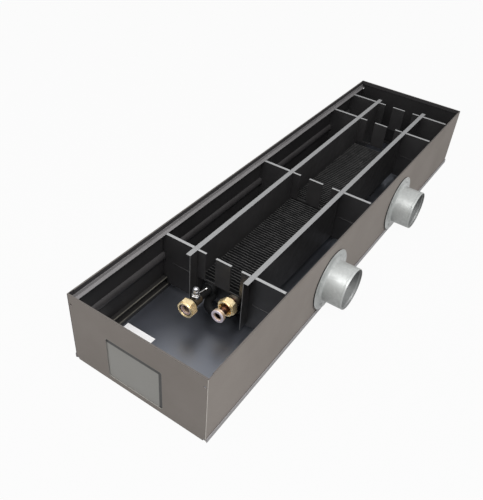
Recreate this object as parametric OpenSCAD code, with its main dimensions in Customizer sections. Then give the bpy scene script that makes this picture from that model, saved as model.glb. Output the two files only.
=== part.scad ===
// Trench convector heater without its grille: an open floor trough that holds a finned
// water coil between two air-guide rails, four cross plates, two pipe unions with an air
// vent at the near end, and two round duct spigots on one long side.
// X runs along the trough from the near (connection) end at -X to the far end at +X.
// The duct spigots leave through the -Y side. Z is up and the base lies on Z = 0.

/* [Trough] */
// Length over the end caps
trough_l = 1000; // [900:10:1600]
// Width over the base lips
trough_w = 260; // [250:1:340]
// Height of the rim
trough_h = 140; // [132:1:180]
// Thickness of the folded sheet steel
sheet = 1.2; // [0.8:0.1:1.5]
// Height of the base lip outside the long walls
lip_h = 9.5; // [6:0.5:12]
// Gap between the base lip and the wall
lip_gap = 0.8; // [0.4:0.1:1.2]
// Height of the folded hem round the rim
hem_h = 8; // [5:0.5:11]
// Width of the flanges bent inward on the end caps
cap_flange_w = 12; // [8:1:16]
// Height of the upright leg of the duct side's foot angle
foot_leg_h = 12; // [8:1:14]
// Width of the flat leg of the duct side's foot angle
foot_leg_w = 11; // [8:1:16]
// Width of the two flanges of the plain side's foot channel
channel_w = 8.5; // [6:0.5:11]
// Height of the foot channel's lower flange above the base
channel_step = 9; // [6:0.5:12]
// Rise from the foot channel's lower to its upper flange
channel_rise = 18; // [12:0.5:19]

/* [End cap details] */
// Width of the knock-out opening in the near end cap
knockout_w = 105; // [60:1:120]
// Height of the knock-out opening
knockout_h = 83; // [40:1:90]
// Height of the opening's lower edge above the ground
knockout_z = 10; // [8:1:20]
// Offset of the opening from the middle, towards the plain side
knockout_y = 4; // [-20:1:20]
// Corner radius of the opening
knockout_r = 4; // [2:0.5:8]
// How far the closing plate laps behind the end cap
knockout_lap = 4; // [3:0.5:6]
// Diameter of the frame holes near the cap's upper corners
frame_hole_d = 4.2; // [2:0.1:5]
// Distance of the frame holes from the cap's side edges
frame_hole_inset = 4; // [3:0.1:8]
// Depth of the frame holes below the rim
frame_hole_drop = 19; // [14:1:26]
// Side of the relief notch at the cap's lower corners
relief = 4; // [2:0.5:6]

/* [Grille seat] */
// Depth of the grille seat below the rim
seat_drop = 15; // [12:1:20]
// Width of the ledge on the plain wall
ledge_w = 7.5; // [6:0.5:14]
// Gap between the ledge's leg up the wall and the hem above it
ledge_hem_gap = 1; // [0.5:0.5:3]

/* [Wall stiffener] */
// Height of the stiffener's middle on the plain wall
bead_z = 74; // [70:1:82]
// Height of the half-round stiffener
bead_h = 18; // [14:1:22]
// How far the stiffener stands out from the wall
bead_depth = 5.5; // [4:0.5:8]

/* [Cross plates] */
// From the near end to the first cross plate
chamber_l = 212; // [190:1:240]
// From the last cross plate to the far end
far_l = 62; // [40:1:80]
// Length of the bay before the last cross plate
last_bay_l = 106; // [80:1:140]
// Gap between the cross plates and the ground
plate_floor_gap = 16; // [14:0.5:22]
// Width of the lip folded back along the top of the plate's wings
plate_lip_w = 5.5; // [4:0.5:9]
// Width of the lip between the rails
tab_lip_w = 4; // [3:0.5:6]
// Width of the cut at the plate's top corner on the duct side
corner_cut_w = 10; // [6:0.5:14]
// Height of the cut at that corner
corner_cut_h = 14; // [8:1:20]
// Width of the tab between the two notches
centre_tab_w = 30; // [20:1:36]
// Width of each notch
notch_w = 20; // [12:1:22]
// Height of the bar under each notch
bridge_h = 3; // [2:0.5:8]
// Radius of the pressed crease
crease_r = 0.8; // [0.5:0.1:1.2]
// Height of the crease above the ground
crease_z = 68; // [60:1:75]
// From the long wall to the end of the crease
crease_inset = 21; // [16:1:30]
// Length of the welding tabs against the long walls
weld_tab_l = 14; // [8:1:20]
// Height of the welding tabs
weld_tab_h = 30; // [15:1:32]

/* [Guide rails] */
// Clear distance between the two rails
rail_gap = 104; // [101:0.5:110]
// Width of the rail's top lip
rail_lip_w = 9; // [6:0.5:14]
// Gap between the rails and the ground
rail_floor_gap = 20; // [14:1:28]
// How far the rails reach past the first cross plate
rail_near_over = 20; // [10:1:40]
// How far the rails reach past the last cross plate
rail_far_over = 20; // [10:1:36]
// Depth of the half-lap between rails and plates
lap_h = 25; // [15:1:35]

/* [Coil] */
// Width of the fins
fin_w = 97; // [90:0.5:98]
// Height of the fins
fin_h = 50; // [46:0.5:52]
// Thickness of a fin
fin_t = 0.5; // [0.3:0.1:0.8]
// Distance from fin to fin
fin_pitch = 6.5; // [5:0.1:10]
// Gap under the fins
coil_floor_gap = 17; // [15:0.5:22]
// Clearance between the coil and the cross plates
coil_clear = 0.8; // [0.5:0.1:1.5]
// From a cross plate to the first or last fin
coil_end_gap = 13; // [8:0.5:18]
// Outer diameter of the copper tubes
tube_d = 15; // [12:0.5:15.5]
// Wall of the copper tubes
tube_wall = 0.8; // [0.5:0.1:1.2]
// Sideways distance between the tubes
tube_pitch = 50; // [46:1:56]
// Height of the upper tubes
tube_z = 55; // [54:0.5:57]
// Drop from the upper to the lower tubes
tube_drop = 26; // [25:0.5:28]
// Thickness of the fin collars on the tubes
collar_t = 1; // [0.6:0.1:1.5]
// Tube length past the outer fins
tube_stub = 8; // [6:0.5:12]
// Width of the saddles under the coil
saddle_w = 80; // [60:1:90]
// Length of the saddles along the trough
saddle_l = 20; // [12:1:40]
// Width of the saddle feet
saddle_foot_w = 8; // [5:1:12]
// From the outer fins to the saddles
saddle_inset = 75; // [40:1:120]

/* [Pipe unions] */
// From the first cross plate to the supply union's sealing face
supply_reach = 66; // [62:1:80]
// From the first cross plate to the return union's sealing face
return_reach = 47; // [44:1:60]
// Width across the flats of the union nuts
nut_af = 30; // [28:0.5:32]
// Length of a union nut
nut_l = 15; // [13:0.5:17]
// Radius of the nut's thread bore
nut_bore_r = 12.3; // [12.3:0.1:13]
// Length of the round front of the nut
nut_front_l = 2.5; // [1:0.5:3]
// Thickness of the nut's web
nut_web_t = 3; // [2:0.5:4]
// Clearance of the tail in the nut's web
nut_web_clear = 0.8; // [0.5:0.1:1.5]
// How far the return nut is slid back from its front stop
return_nut_back = 23.5; // [10:0.5:28]
// Angle of the supply nut's first corner from the level
supply_nut_turn = 2; // [0:1:59]
// Angle of the return nut's first corner from the level
return_nut_turn = 15; // [0:1:59]
// Length of the tail's sealing collar
tail_collar_l = 6; // [5:0.5:8]
// Radius of the sealing collar
tail_collar_r = 12; // [11:0.1:12.1]
// Bore of the sealing collar
tail_bore_d = 13; // [9:0.5:13]
// Bore of the sealing washer
washer_bore_d = 16; // [14:0.5:18]
// Thickness of the sealing washer
washer_t = 1.6; // [1:0.1:2]
// Thickness of the thrust ring behind the collar
ring_t = 2; // [1.5:0.1:2.5]
// Length of the pipe couplings
coupling_l = 9; // [7:0.5:12]
// Wall of the pipe couplings
coupling_t = 4; // [2:0.5:4.5]

/* [Air vent] */
// From the first cross plate to the vent
vent_reach = 38.5; // [34:0.5:40]
// Length of the vent tee along the pipe
tee_l = 16; // [12:0.5:18]
// Wall of the vent tee round the pipe
tee_wall = 1.5; // [1:0.5:3]
// Radius of the tee's boss
tee_boss_r = 7; // [5:0.5:8]
// How far the boss stands above the tee's round body
boss_rise = 0.5; // [0.5:0.1:1.5]
// Radius of the vent body
vent_r = 5; // [4.5:0.1:6]
// Height of the vent body's neck
vent_neck_h = 5.5; // [5:0.5:9]
// Thickness of the vent body's head
vent_head_t = 2; // [1.5:0.5:3]
// How far the head reaches over the swivel ring
vent_head_lip = 1.2; // [0.8:0.1:2]
// Radius of the vent knob
knob_r = 5.5; // [5:0.1:6.5]
// Height of the knob's straight side below its dome
knob_side_h = 7; // [4:0.5:8]
// Radius of the knob's stem
stem_r = 2; // [1.5:0.1:2.5]
// Wall of the swivel ring
swivel_wall = 2.5; // [1.5:0.1:3]
// Height of the swivel ring
swivel_h = 4.5; // [4:0.5:4.5]
// Radius of the spout
spout_r = 1.7; // [1.2:0.1:2]
// Length of the spout from the vent's axis
spout_l = 25; // [14:0.5:25]
// Radius of the bead at the spout's end
spout_bead_r = 2.3; // [2:0.1:2.6]
// Angle of the spout from the trough's length, towards the return pipe
spout_angle = 10; // [0:1:20]

/* [Duct spigots] */
// Outer diameter of the spigot
spigot_d = 78; // [70:0.5:80]
// Length of the spigot from its flange
spigot_l = 42; // [30:1:80]
// Diameter of the spigot's flange
flange_d = 116; // [108:1:116]
// Sheet thickness of the spigots
spigot_t = 0.8; // [0.6:0.1:1.2]
// Height of the spigot's axis
spigot_z = 58.5; // [58.5:0.5:64]
// From the first cross plate to the near spigot
spigot_from_plate = 146; // [100:1:180]
// Distance between the two spigots
spigot_pitch = 301; // [240:1:340]
// Radius of the rolled-in bead at the mouth
lip_bead_r = 0.9; // [0.6:0.1:1.4]
// From the mouth to the pressed-in groove
groove_back = 5; // [4:0.5:8]
// Depth of the pressed-in groove
groove_depth = 0.5; // [0.3:0.1:0.6]
// Width of the raised collar round the spigot's root
root_w = 4.5; // [2:0.5:5]
// Height of the raised collar
root_h = 3; // [1:0.5:5]
// How far the foam seal stays back from the flange's edge
seal_inset = 1; // [0.5:0.5:2]
// Radius of the rivet circle in the flange
rivet_circle_r = 49; // [48.5:0.5:50]
// Radius of the rivet heads
rivet_head_r = 3; // [2:0.1:3.5]
// Height of the rivet heads
rivet_head_h = 1.4; // [0.8:0.1:2]
// Radius of the rivet shanks
rivet_r = 1.6; // [1.2:0.1:2]

/* [Label] */
// Length of the blank label along the trough
label_l = 40; // [20:1:60]
// Width of the blank label
label_w = 60; // [30:1:70]
// Thickness of the label
label_t = 0.3; // [0.2:0.1:0.5]
// From the near end to the label's far edge
label_reach = 104; // [90:1:120]
// Gap between the label and the foot channel
label_gap = 3.5; // [0.5:0.5:8]

/* [Hidden] */
// Seam between sheets that touch
seam = 0.1;
// Clearance where one sheet passes another
fit = 0.3;
// Running clearance on a radius
run = 0.08;
// Overrun of every cut
over = 1;
// Round parts use this many facets
$fn = 96;
// Facets of the fin collars, of which there are many
collar_facets = 32;
// Facets of a small bead's section
bead_facets = 24;

half_l = trough_l / 2;
half_w = trough_w / 2;
cap_in = half_l - sheet;
wall_out = half_w - sheet - lip_gap;
wall_in = wall_out - sheet;
seat_z = trough_h - seat_drop;
floor_z = sheet + seam;

first_x = -half_l + chamber_l;
last_x = half_l - far_l;
third_x = last_x - last_bay_l;
plate_x = [first_x, (first_x + third_x) / 2, third_x, last_x];

rail_in = rail_gap / 2;
rail_x0 = first_x - rail_near_over;
rail_x1 = last_x + rail_far_over;
lap_z = seat_z - lap_h;

coil_top = coil_floor_gap + fin_h;
window_w = fin_w + 2 * coil_clear;
window_top = coil_top + coil_clear;
fin_x0 = first_x + coil_end_gap;
fin_n = floor((third_x - first_x - 2 * coil_end_gap) / fin_pitch) + 1;
fin_x1 = fin_x0 + (fin_n - 1) * fin_pitch;
tube_r = tube_d / 2;
tube_y = tube_pitch / 2;
tube_z_low = tube_z - tube_drop;
tube_x0 = fin_x0 - tube_stub;
tube_x1 = fin_x1 + tube_stub;
socket_r = tube_r + run;
joint_x = first_x;

ledge_in = wall_in - ledge_w;
bead_r = (bead_h * bead_h / 4 + bead_depth * bead_depth) / (2 * bead_depth);
foot_in = wall_in - seam - foot_leg_w;
channel_in = wall_in - seam - channel_w;
step_z = floor_z + channel_step;
channel_z = step_z + channel_rise;

vent_x = first_x - vent_reach;
tee_r = tube_r + tee_wall;
boss_z = tube_z + tee_r + boss_rise;
head_z = boss_z + vent_neck_h;
knob_under = head_z + vent_head_t + fit;
knob_z = knob_under + knob_side_h;
stem_share = 0.7;
stem_l = vent_neck_h * stem_share;

corner_turn = 30;
nut_r = nut_af / 2 / cos(corner_turn);
nut_chamfer = nut_r - nut_af / 2;
washer_r = tail_collar_r - fit;
spigot_r = spigot_d / 2;
flange_r = flange_d / 2;
duct_hole_r = spigot_r - spigot_t + fit;
spigot_x = [first_x + spigot_from_plate, first_x + spigot_from_plate + spigot_pitch];
rivet_angles = [60, 150, 240, 330];
groove_shares = [0.5, 0.65];
groove_depth_share = 0.9;
rim_depth_share = 0.96;

case_grey = [0.52, 0.5, 0.48];
inside_black = [0.09, 0.09, 0.1];
zinc = [0.72, 0.75, 0.74];
brass = [0.85, 0.68, 0.4];
copper = [0.62, 0.38, 0.26];
chrome = [0.82, 0.82, 0.84];

// Extrudes a section drawn in Y and Z from x0 to x1
module along_x(x0, x1) {
    translate([x0, 0, 0])
        rotate([90, 0, 90])
            linear_extrude(height = x1 - x0)
                children();
}

// Rectangle from corner to corner
module area(a0, b0, a1, b1) {
    translate([a0, b0])
        square([a1 - a0, b1 - b0]);
}

// The same section on the +Y and the -Y side
module both_sides() {
    children();
    mirror([1, 0])
        children();
}

// Rectangle with round corners, round its own middle
module round_area(w, h, r) {
    square([w - 2 * r, h], center = true);
    square([w, h - 2 * r], center = true);
    for (sx = [-1, 1], sy = [-1, 1])
        translate([sx * (w / 2 - r), sy * (h / 2 - r)])
            circle(r = r);
}

// Turns a shape drawn along Z so that it runs along +X from x at a height and a side
module on_x(x, y, z) {
    translate([x, y, z])
        rotate([0, 90, 0])
            children();
}

// Round pipe along X
module pipe_x(x0, x1, y, z, r, wall) {
    on_x(x0, y, z)
        difference() {
            cylinder(r = r, h = x1 - x0);
            translate([0, 0, -over])
                cylinder(r = r - wall, h = x1 - x0 + 2 * over);
        }
}

module base_tray() {
    color(case_grey) {
        along_x(-cap_in + seam, cap_in - seam)
            area(-half_w, 0, half_w, sheet);
        along_x(-half_l, half_l)
            both_sides()
                area(half_w - sheet, 0, half_w, lip_h);
    }
}

// Long wall on the +Y side: a flat sheet with a hem folded inward at the rim
module wall_sheet() {
    along_x(-half_l, half_l)
        area(wall_in, floor_z, wall_out, trough_h);
    along_x(-half_l + cap_flange_w, half_l - cap_flange_w)
        area(wall_in - sheet, trough_h - hem_h, wall_in, trough_h);
}

module plain_side_wall() {
    color(case_grey)
        wall_sheet();
}

module duct_side_wall() {
    color(case_grey)
        difference() {
            mirror([0, 1, 0])
                wall_sheet();
            for (x = spigot_x)
                translate([x, -wall_in + over, spigot_z])
                    rotate([90, 0, 0]) {
                        cylinder(r = duct_hole_r, h = sheet + 2 * over);
                        rivet_places()
                            cylinder(r = rivet_r + run, h = sheet + 2 * over);
                    }
        }
}

// End cap at the -X end: web, two side flanges, a foot flange and a hem
module cap_shell() {
    edge = wall_in - seam;
    along_x(-half_l, -cap_in)
        difference() {
            area(-edge, 0, edge, trough_h);
            both_sides()
                area(edge - relief, -over, edge + over, relief);
        }
    along_x(-cap_in, -half_l + cap_flange_w) {
        area(edge - sheet, channel_z + sheet, edge, seat_z - 2 * sheet);
        area(-edge, floor_z + foot_leg_h + sheet, -edge + sheet, seat_z - 2 * sheet);
        area(-foot_in + sheet, floor_z, channel_in - sheet, floor_z + sheet);
    }
    along_x(-cap_in, -cap_in + sheet)
        area(-edge, trough_h - hem_h, edge, trough_h);
}

module frame_holes() {
    for (side = [-1, 1])
        on_x(-half_l - over, side * (wall_in - seam - frame_hole_inset), trough_h - frame_hole_drop)
            cylinder(d = frame_hole_d, h = sheet + 2 * over);
}

module near_end_cap() {
    color(case_grey)
        difference() {
            cap_shell();
            frame_holes();
            along_x(-half_l - over, -cap_in + over)
                translate([knockout_y, knockout_z + knockout_h / 2])
                    round_area(knockout_w, knockout_h, knockout_r);
        }
}

module far_end_cap() {
    color(case_grey)
        mirror([1, 0, 0])
            difference() {
                cap_shell();
                frame_holes();
            }
}

module knockout_plate() {
    color(zinc)
        along_x(-cap_in + seam, -cap_in + seam + sheet)
            translate([knockout_y, knockout_z + knockout_h / 2])
                round_area(knockout_w + 2 * knockout_lap, knockout_h + 2 * knockout_lap,
                           knockout_r + knockout_lap);
}

// Angle that joins the base and the duct side's wall
module foot_angle() {
    edge = wall_in - seam;
    color(inside_black)
        along_x(-cap_in + seam, cap_in - seam) {
            area(-edge, floor_z, -foot_in, floor_z + sheet);
            area(-edge, floor_z, -edge + sheet, floor_z + foot_leg_h);
        }
}

// Folded strip along the foot of the plain side's wall: it stands on the base, steps back
// to the wall, and ends in a second flange higher up
module foot_channel() {
    edge = wall_in - seam;
    color(inside_black)
        along_x(-cap_in + seam, cap_in - seam) {
            area(channel_in, floor_z, channel_in + sheet, step_z);
            area(channel_in, step_z - sheet, edge, step_z);
            area(edge - sheet, step_z - sheet, edge, channel_z);
            area(channel_in, channel_z - sheet, edge, channel_z);
        }
}

// Seat for the grille's edge, with a leg up the wall
module grille_ledge() {
    edge = wall_in - seam;
    color(case_grey)
        along_x(-cap_in + seam, cap_in - seam) {
            area(ledge_in, seat_z - sheet, edge, seat_z);
            area(edge - sheet, seat_z - sheet, edge, trough_h - hem_h - ledge_hem_gap);
        }
}

// Half-round stiffener, a rolled strip with its round side to the inside
module wall_stiffener() {
    edge = wall_in - seam;
    color(inside_black)
        along_x(-half_l + cap_flange_w + sheet, half_l - cap_flange_w - sheet)
            intersection() {
                translate([edge - bead_depth + bead_r, bead_z])
                    difference() {
                        circle(r = bead_r);
                        circle(r = bead_r - sheet);
                    }
                area(edge - bead_depth - over, bead_z - bead_h, edge, bead_z + bead_h);
            }
}

// Cross plate outline in Y and Z
module plate_outline() {
    edge = wall_in - seam;
    difference() {
        area(-edge, plate_floor_gap, edge, seat_z);
        area(ledge_in - fit, seat_z - sheet - fit, edge + over, seat_z + over);
        area(channel_in - fit, plate_floor_gap - over, edge + over, channel_z + fit);
        area(-edge - over, seat_z - corner_cut_h, -edge + corner_cut_w, seat_z + over);
        both_sides() {
            area(rail_in - fit, lap_z, rail_in + sheet + fit, seat_z + over);
            area(rail_in - fit, seat_z - sheet - fit, rail_in + rail_lip_w + fit, seat_z + over);
            area(centre_tab_w / 2, window_top + bridge_h, centre_tab_w / 2 + notch_w,
                 seat_z + over);
        }
        area(-window_w / 2, plate_floor_gap - over, window_w / 2, window_top);
        area(edge - bead_depth - fit, bead_z - bead_h / 2 - fit, edge + over,
             bead_z + bead_h / 2 + fit);
    }
}

// Lip folded back along a plate's top edge, between two places across the trough
module plate_lip(x, lip_w, y0, y1) {
    along_x(x - sheet / 2, x - sheet / 2 + lip_w)
        intersection() {
            plate_outline();
            area(y0, seat_z - sheet, y1, seat_z);
        }
}

module cross_plate(x) {
    edge = wall_in - seam;
    crease_y0 = rail_in + rail_lip_w;
    crease_y1 = edge - crease_inset;
    tab_z = plate_floor_gap + sheet;
    color(inside_black) {
        along_x(x - sheet / 2, x + sheet / 2)
            plate_outline();
        plate_lip(x, tab_lip_w, -rail_in, rail_in);
        plate_lip(x, plate_lip_w, rail_in, edge);
        plate_lip(x, plate_lip_w, -edge, -rail_in);
        along_x(x - sheet / 2, x + sheet / 2 + weld_tab_l) {
            area(edge - sheet, channel_z + sheet, edge, channel_z + sheet + weld_tab_h);
            area(-edge, tab_z, -edge + sheet, tab_z + weld_tab_h);
        }
        for (side = [-1, 1])
            translate([x - sheet / 2, side * (crease_y0 + crease_y1) / 2, crease_z])
                rotate([90, 0, 0])
                    cylinder(r = crease_r, h = crease_y1 - crease_y0, center = true);
    }
}

// Rail on the +Y side: web with a lip bent away from the coil, slotted over the plates
module guide_rail() {
    difference() {
        along_x(rail_x0, rail_x1) {
            area(rail_in, rail_floor_gap, rail_in + sheet, seat_z);
            area(rail_in, seat_z - sheet, rail_in + rail_lip_w, seat_z);
        }
        for (x = plate_x)
            along_x(x - sheet / 2 - fit, x + sheet / 2 + fit)
                area(rail_in - over, rail_floor_gap - over, rail_in + sheet + over, lap_z + fit);
    }
}

module guide_rail_plain_side() {
    color(inside_black)
        guide_rail();
}

module guide_rail_duct_side() {
    color(inside_black)
        mirror([0, 1, 0])
            guide_rail();
}

// The four places of the coil tubes
module tube_places() {
    for (side = [-1, 1], z = [tube_z, tube_z_low])
        translate([0, side * tube_y, z])
            children();
}

module fin_pack() {
    color(inside_black)
        difference() {
            union() {
                for (i = [0 : fin_n - 1])
                    along_x(fin_x0 + i * fin_pitch - fin_t / 2, fin_x0 + i * fin_pitch + fin_t / 2)
                        area(-fin_w / 2, coil_floor_gap, fin_w / 2, coil_top);
                tube_places()
                    on_x(fin_x0, 0, 0)
                        cylinder(r = socket_r + collar_t, h = fin_x1 - fin_x0, $fn = collar_facets);
            }
            tube_places()
                on_x(fin_x0 - over, 0, 0)
                    cylinder(r = socket_r, h = fin_x1 - fin_x0 + 2 * over, $fn = collar_facets);
        }
}

module upper_tube(side) {
    color(inside_black)
        pipe_x(joint_x + seam, tube_x1, side * tube_y, tube_z, tube_r, tube_wall);
}

module lower_tube(side) {
    color(inside_black)
        pipe_x(tube_x0, tube_x1, side * tube_y, tube_z_low, tube_r, tube_wall);
}

// Half ring of pipe, round the Z axis, bulging towards +X
module half_ring(bend_r) {
    rotate([0, 0, -90])
        rotate_extrude(angle = 180)
            translate([bend_r, 0])
                difference() {
                    circle(r = tube_r);
                    circle(r = tube_r - tube_wall);
                }
}

module near_return_bend() {
    color(inside_black)
        translate([tube_x0 - seam, 0, tube_z_low])
            mirror([1, 0, 0])
                half_ring(tube_y);
}

module far_return_bend(side) {
    color(inside_black)
        translate([tube_x1 + seam, side * tube_y, (tube_z + tube_z_low) / 2])
            rotate([90, 0, 0])
                half_ring(tube_drop / 2);
}

// Bridge of folded sheet that carries the fins
module coil_saddle(x) {
    top = coil_floor_gap - seam;
    half = saddle_w / 2;
    color(case_grey)
        along_x(x - saddle_l / 2, x + saddle_l / 2) {
            area(-half, top - sheet, half, top);
            both_sides() {
                area(half - sheet, floor_z, half, top);
                area(half - sheet, floor_z, half + saddle_foot_w, floor_z + sheet);
            }
        }
}

// The supply side is painted with the coil, the return side is bare
module coupling(side) {
    color(side > 0 ? inside_black : copper)
        pipe_x(joint_x - coupling_l / 2, joint_x + coupling_l / 2, side * tube_y, tube_z,
               socket_r + coupling_t, coupling_t);
}

// Pipe from the coupling into the sealing collar
module tail_pipe(side, reach) {
    color(side > 0 ? inside_black : copper)
        pipe_x(first_x - reach + washer_t + tail_collar_l / 3 + seam, joint_x - seam,
               side * tube_y, tube_z, tube_r, tube_wall);
}

// Where a union's sealing collar ends
function collar_back(reach) = first_x - reach + washer_t + tail_collar_l;

// Sealing collar: two rims with a groove between them, bored for the pipe
module tail_collar(side, reach) {
    color(brass)
        on_x(first_x - reach + washer_t, side * tube_y, tube_z)
            difference() {
                union() {
                    cylinder(r = tail_collar_r * groove_depth_share, h = tail_collar_l);
                    cylinder(r = tail_collar_r, h = tail_collar_l * groove_shares[0]);
                    translate([0, 0, tail_collar_l * groove_shares[1]])
                        cylinder(r = tail_collar_r * rim_depth_share,
                                 h = tail_collar_l * (1 - groove_shares[1]));
                }
                translate([0, 0, -over])
                    cylinder(d = tail_bore_d, h = tail_collar_l + 2 * over);
                translate([0, 0, tail_collar_l / 3])
                    cylinder(r = socket_r, h = tail_collar_l);
            }
}

module washer(side, reach) {
    color(chrome)
        pipe_x(first_x - reach, first_x - reach + washer_t - seam, side * tube_y, tube_z,
               washer_r, washer_r - washer_bore_d / 2);
}

// Ring between the collar and the nut's web, slid back from its front stop
module thrust_ring(side, reach, back) {
    ring_x = collar_back(reach) + seam + back;
    color(brass)
        pipe_x(ring_x, ring_x + ring_t, side * tube_y, tube_z, nut_bore_r - run,
               nut_bore_r - run - socket_r);
}

// Union nut with a round front, six flats and a web that rests on the thrust ring
module union_nut(side, reach, back, turn) {
    nut_x = collar_back(reach) + seam + ring_t + fit + nut_web_t - nut_l + back;
    color(brass)
        on_x(nut_x, side * tube_y, tube_z)
            difference() {
                intersection() {
                    union() {
                        cylinder(d = nut_af - nut_front_l / 2, h = nut_l);
                        translate([0, 0, nut_front_l])
                            rotate([0, 0, corner_turn + turn])
                                cylinder(r = nut_r, h = nut_l - 2 * nut_front_l, $fn = 6);
                    }
                    rotate_extrude()
                        polygon([[0, 0], [nut_af / 2, 0], [nut_r, nut_front_l + nut_chamfer / 2],
                                 [nut_r, nut_l - nut_front_l - nut_chamfer / 2],
                                 [nut_af / 2, nut_l], [0, nut_l]]);
                }
                translate([0, 0, -over])
                    cylinder(r = nut_bore_r, h = nut_l - nut_web_t + over);
                cylinder(r = tube_r + nut_web_clear, h = nut_l + over);
            }
}

module vent_tee() {
    color(brass)
        difference() {
            union() {
                on_x(vent_x - tee_l / 2, tube_y, tube_z)
                    cylinder(r = tee_r, h = tee_l);
                translate([vent_x, tube_y, tube_z])
                    cylinder(r = tee_boss_r, h = boss_z - tube_z);
            }
            on_x(vent_x - tee_l / 2 - over, tube_y, tube_z)
                cylinder(r = socket_r, h = tee_l + 2 * over);
        }
}

module vent_body() {
    color(chrome)
        translate([vent_x, tube_y, boss_z])
            difference() {
                union() {
                    cylinder(r = vent_r, h = vent_neck_h);
                    translate([0, 0, vent_neck_h])
                        cylinder(r = vent_r + vent_head_lip, h = vent_head_t);
                }
                translate([0, 0, vent_neck_h + vent_head_t - stem_l - fit])
                    cylinder(r = stem_r + run, h = stem_l + fit + over);
            }
}

// Ring round the vent's neck with a side spout
module vent_spout() {
    ring_r = vent_r + run + swivel_wall;
    color(chrome)
        translate([vent_x, tube_y, boss_z + (vent_neck_h - swivel_h) / 2])
            difference() {
                union() {
                    cylinder(r = ring_r, h = swivel_h);
                    rotate([0, 0, -spout_angle])
                        translate([0, 0, swivel_h / 2])
                            rotate([0, 90, 0]) {
                                cylinder(r = spout_r, h = spout_l);
                                translate([0, 0, spout_l - spout_bead_r])
                                    sphere(r = spout_bead_r);
                            }
                }
                translate([0, 0, -over])
                    cylinder(r = vent_r + run, h = swivel_h + 2 * over);
            }
}

// Domed knob on a stem in the vent body
module vent_knob() {
    color(chrome)
        translate([vent_x, tube_y, 0]) {
            rotate_extrude()
                intersection() {
                    union() {
                        area(0, knob_under, knob_r, knob_z);
                        translate([0, knob_z])
                            circle(r = knob_r);
                    }
                    area(0, knob_under, knob_r, knob_z + knob_r);
                }
            translate([0, 0, knob_under - stem_l])
                cylinder(r = stem_r, h = stem_l + knob_side_h);
        }
}

// Puts a shape at each rivet of a spigot's flange
module rivet_places() {
    for (a = rivet_angles)
        rotate([0, 0, a])
            translate([rivet_circle_r, 0, 0])
                children();
}

// Turns a shape drawn along Z so that it leaves the duct side at a spigot
module on_duct_side(x, y) {
    translate([x, y, spigot_z])
        rotate([90, 0, 0])
            children();
}

// Ring round the spigot's axis with a round section
module ring_at(ring_r, z, section_r) {
    translate([0, 0, z])
        rotate_extrude()
            translate([ring_r, 0])
                circle(r = section_r, $fn = bead_facets);
}

// Spigot: flat flange, raised root, tube, rolled-in mouth and a pressed-in groove behind
// it, so that a duct slides over all of it
module duct_spigot(x) {
    groove_z = spigot_l - groove_back;
    color(zinc)
        on_duct_side(x, -half_w - seam)
            difference() {
                union() {
                    difference() {
                        union() {
                            cylinder(r = flange_r, h = spigot_t);
                            cylinder(r = spigot_r, h = spigot_l - lip_bead_r);
                            translate([0, 0, spigot_t])
                                cylinder(r1 = spigot_r + root_w, r2 = spigot_r, h = root_h);
                        }
                        translate([0, 0, -over])
                            cylinder(r = spigot_r - spigot_t, h = spigot_l + 2 * over);
                    }
                    ring_at(spigot_r - lip_bead_r, spigot_l - lip_bead_r, lip_bead_r);
                    ring_at(spigot_r - spigot_t, groove_z, spigot_t);
                }
                ring_at(spigot_r, groove_z, groove_depth);
                translate([0, 0, -over])
                    rivet_places()
                        cylinder(r = rivet_r + run, h = spigot_t + 2 * over);
            }
}

// Foam seal between the wall and the flange, cut away over the base lip
module spigot_seal(x) {
    depth = half_w - wall_out;
    color(inside_black)
        difference() {
            on_duct_side(x, -wall_out)
                difference() {
                    cylinder(r = flange_r - seal_inset, h = depth);
                    translate([0, 0, -over]) {
                        cylinder(r = duct_hole_r, h = depth + 2 * over);
                        rivet_places()
                            cylinder(r = rivet_r + run, h = depth + 2 * over);
                    }
                }
            translate([x - flange_r, -half_w - over, -over])
                cube([flange_d, depth + 2 * over, lip_h + fit + over]);
        }
}

module spigot_rivets(x) {
    shank_l = half_w + seam + spigot_t - wall_in;
    color(zinc)
        on_duct_side(x, -wall_in)
            rivet_places() {
                cylinder(r = rivet_r, h = shank_l + rivet_head_h / 2);
                translate([0, 0, shank_l])
                    cylinder(r1 = rivet_head_r, r2 = rivet_head_r - rivet_head_h / 2,
                             h = rivet_head_h);
            }
}

module blank_label() {
    color("white")
        translate([-half_l + label_reach - label_l, channel_in - label_w - label_gap, sheet])
            cube([label_l, label_w, label_t]);
}

base_tray();
duct_side_wall();
plain_side_wall();
near_end_cap();
far_end_cap();
knockout_plate();
foot_angle();
foot_channel();
grille_ledge();
wall_stiffener();
guide_rail_plain_side();
guide_rail_duct_side();
cross_plate(plate_x[0]);  // cross_plate_1
cross_plate(plate_x[1]);  // cross_plate_2
cross_plate(plate_x[2]);  // cross_plate_3
cross_plate(plate_x[3]);  // cross_plate_4
fin_pack();
upper_tube(1);  // supply_coil_tube
upper_tube(-1);  // return_coil_tube
lower_tube(1);  // lower_coil_tube_plain_side
lower_tube(-1);  // lower_coil_tube_duct_side
near_return_bend();
far_return_bend(1);  // far_return_bend_plain_side
far_return_bend(-1);  // far_return_bend_duct_side
coil_saddle(fin_x0 + saddle_inset);  // near_coil_saddle
coil_saddle(fin_x1 - saddle_inset);  // far_coil_saddle
coupling(1);  // supply_coupling
coupling(-1);  // return_coupling
tail_pipe(1, supply_reach);  // supply_tail_pipe
tail_pipe(-1, return_reach);  // return_tail_pipe
tail_collar(1, supply_reach);  // supply_tail_collar
tail_collar(-1, return_reach);  // return_tail_collar
washer(1, supply_reach);  // supply_washer
washer(-1, return_reach);  // return_washer
thrust_ring(1, supply_reach, 0);  // supply_thrust_ring
thrust_ring(-1, return_reach, return_nut_back);  // return_thrust_ring
union_nut(1, supply_reach, 0, supply_nut_turn);  // supply_union_nut
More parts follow.
